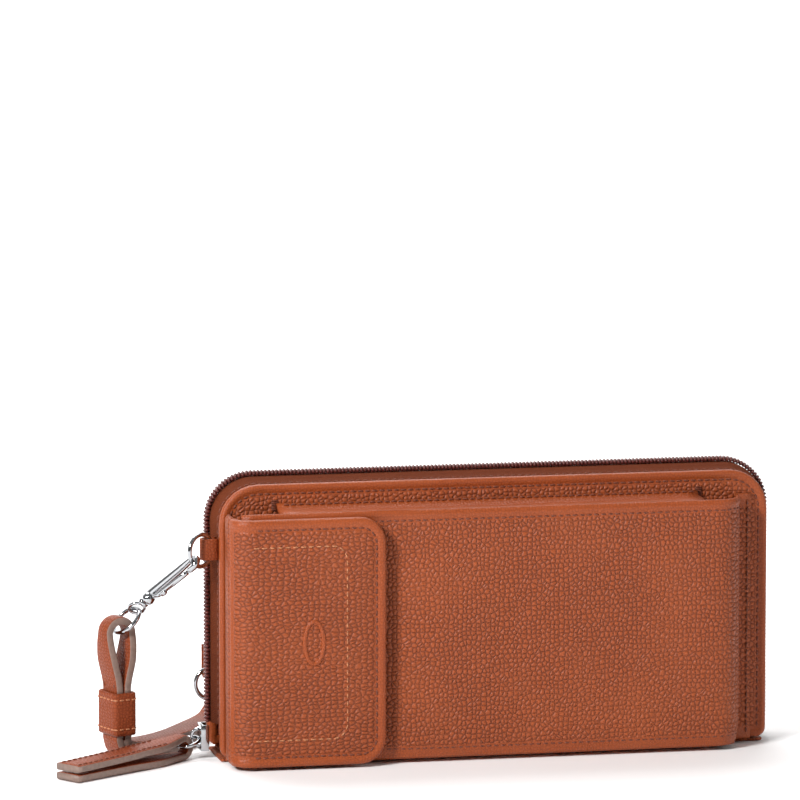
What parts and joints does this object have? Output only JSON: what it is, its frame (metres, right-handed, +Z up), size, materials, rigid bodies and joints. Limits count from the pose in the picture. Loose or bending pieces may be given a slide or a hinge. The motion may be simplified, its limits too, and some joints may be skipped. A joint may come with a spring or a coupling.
{
  "type": "zip around wallet",
  "caption": "Leather zip-around phone wallet with snap-flap phone sleeve, accordion interior, zipped coin pocket and a clip-on wrist strap.",
  "frame": {"origin": "middle of the spine's flat underside, on the surface the closed wallet stands on", "axes": "+X along the wallet with the flap at -X, +Y towards the back cover, +Z up from spine to zip"},
  "size_m": [0.2559, 0.1113, 0.0995],
  "materials": {
    "leather": "pebbled, semi-matt",
    "lining_leather": "fine grain, matt",
    "board": "matt fibre board",
    "zip_tape": "herringbone woven",
    "zip_coil": "satin nylon coil",
    "chrome": "polished",
    "steel": "plain"
  },
  "bodies": {
    "front": {"front_leather": "leather", "front_board": "board", "front_lining": "lining_leather", "front_card_slot_1": "lining_leather", "front_card_slot_2": "lining_leather", "front_card_slot_3": "lining_leather", "spine_leather": "leather", "spine_board": "board", "front_zip_tape": "zip_tape", "front_zip_coil": "zip_coil", "sleeve_wall": "leather", "sleeve_magnet": "steel", "sleeve_lining": "lining_leather", "sleeve_top_band": "leather", "sleeve_bottom_band": "leather", "front_ring_tab": "leather", "gusset_left_1": "lining_leather", "gusset_right_1": "lining_leather"},
    "back": {"back_leather": "leather", "back_board": "board", "back_lining": "lining_leather", "back_card_slot_1": "lining_leather", "back_card_slot_2": "lining_leather", "back_card_slot_3": "lining_leather", "back_zip_tape": "zip_tape", "back_zip_coil": "zip_coil", "rear_ring_tab": "leather", "gusset_left_3": "lining_leather", "gusset_right_3": "lining_leather"},
    "divider": {"divider": "lining_leather", "gusset_left_2": "lining_leather", "gusset_right_2": "lining_leather"},
    "coin_pocket": {"coin_pocket_front": "lining_leather", "coin_pocket_back": "lining_leather", "coin_pocket_fold": "lining_leather", "coin_zip_tape": "zip_tape", "coin_zip_coil": "zip_coil"},
    "coin_slider": {"coin_slider": "chrome"},
    "coin_pull": {"coin_pull_ring": "chrome", "coin_puller": "leather"},
    "flap_side": {"flap_side_wall": "leather"},
    "flap": {"flap_leather": "leather", "flap_board": "board", "flap_magnet": "steel", "flap_lining": "lining_leather"},
    "main_slider": {"main_slider": "chrome"},
    "main_pull_ring": {"main_pull_ring": "chrome"},
    "main_puller": {"main_puller": "leather"},
    "front_ring": {"front_ring": "chrome"},
    "hook": {"hook_body": "chrome"},
    "hook_gate": {"hook_gate": "chrome"},
    "swivel": {"hook_swivel": "chrome"},
    "strap_ring": {"strap_ring": "chrome"},
    "strap": {"wrist_strap": "leather", "strap_keeper": "leather"},
    "strap_tail": {"strap_tail": "leather"},
    "rear_ring": {"rear_ring": "chrome"}
  },
  "joints": [
    {"name": "back_open", "type": "hinge", "parent": "front", "child": "back", "pos_m": [0, 0.0123, 0.0022], "axis": [-1, 0, 0], "range_deg": [0, 35], "deforming": ["gusset_left_1", "gusset_right_1", "gusset_left_2", "gusset_right_2", "gusset_left_3", "gusset_right_3"]},
    {"name": "divider_fan", "type": "hinge", "parent": "front", "child": "divider", "pos_m": [0, 0.0123, 0.0022], "axis": [-1, 0, 0], "range_deg": [0, 14]},
    {"name": "coin_pocket_fan", "type": "hinge", "parent": "front", "child": "coin_pocket", "pos_m": [0, 0.0123, 0.0022], "axis": [-1, 0, 0], "range_deg": [0, 28]},
    {"name": "coin_slide", "type": "slide", "parent": "coin_pocket", "child": "coin_slider", "axis": [-1, 0, 0], "range_m": [0, 0.12]},
    {"name": "coin_pull_swing", "type": "hinge", "parent": "coin_slider", "child": "coin_pull", "pos_m": [0.074, -0.00115, 0.082], "axis": [0, 1, 0], "range_deg": [0, 60]},
    {"name": "flap_side_swing", "type": "hinge", "parent": "front", "child": "flap_side", "pos_m": [-0.0952, -0.0139, 0.044], "axis": [0, 0, -1], "range_deg": [0, 35]},
    {"name": "flap_open", "type": "hinge", "parent": "flap_side", "child": "flap", "pos_m": [-0.0949, -0.0274, 0.044], "axis": [0, 0, -1], "range_deg": [0, 100]},
    {"name": "main_slide", "type": "slide", "parent": "front", "child": "main_slider", "axis": [0, 0, 1], "range_m": [0, 0.028]},
    {"name": "main_pull_swing", "type": "hinge", "parent": "main_slider", "child": "main_pull_ring", "pos_m": [-0.1027, 0, 0.007], "axis": [0, 1, 0], "range_deg": [0, 20]},
    {"name": "main_puller_fold", "type": "hinge", "parent": "main_pull_ring", "child": "main_puller", "pos_m": [-0.10865, -0.004, 0.00449], "axis": [-0.5579, 0.8299, 0], "range_deg": [0, 12]},
    {"name": "front_ring_swing", "type": "hinge", "parent": "front", "child": "front_ring", "pos_m": [-0.0983, -0.009, 0.0739], "axis": [0, 0, 1], "range_deg": [-10, 0]},
    {"name": "hook_swing", "type": "hinge", "parent": "front_ring", "child": "hook", "pos_m": [-0.10281, -0.01215, 0.0739], "axis": [-0.5739, 0.8189, 0], "range_deg": [0, 6]},
    {"name": "hook_gate_press", "type": "hinge", "parent": "hook", "child": "hook_gate", "pos_m": [-0.11834, -0.00433, 0.05631], "axis": [-0.8027, -0.2449, 0.5438], "range_deg": [0, 8], "stiffness_Nm_per_rad": 0.005},
    {"name": "swivel_turn", "type": "hinge", "parent": "hook", "child": "swivel", "pos_m": [-0.12286, 0.00167, 0.05234], "axis": [0.5772, -0.5492, 0.6043], "range_deg": [0, 5]},
    {"name": "strap_ring_turn", "type": "hinge", "parent": "swivel", "child": "strap_ring", "pos_m": [-0.12653, 0.00034, 0.04847], "axis": [-0.6619, -0.2409, 0.7098], "continuous": true},
    {"name": "strap_swing", "type": "hinge", "parent": "swivel", "child": "strap", "pos_m": [-0.12653, 0.00034, 0.04847], "axis": [-0.6619, -0.2409, 0.7098], "range_deg": [-5, 1]},
    {"name": "strap_bend", "type": "hinge", "parent": "strap", "child": "strap_tail", "pos_m": [-0.1302, -0.001, 0.0083], "axis": [-0.5739, 0.8189, 0], "range_deg": [-10, 2]},
    {"name": "rear_ring_swing", "type": "hinge", "parent": "back", "child": "rear_ring", "pos_m": [-0.0942, 0.0163, 0.028], "axis": [1, 0, 0], "range_deg": [0, 14]}
  ],
  "couplings": [
    {"joint": "divider_fan", "follows": "back_open", "ratio": 0.276},
    {"joint": "coin_pocket_fan", "follows": "back_open", "ratio": 0.657},
    {"joint": "strap_bend", "follows": "hook_swing", "ratio": -1}
  ]
}
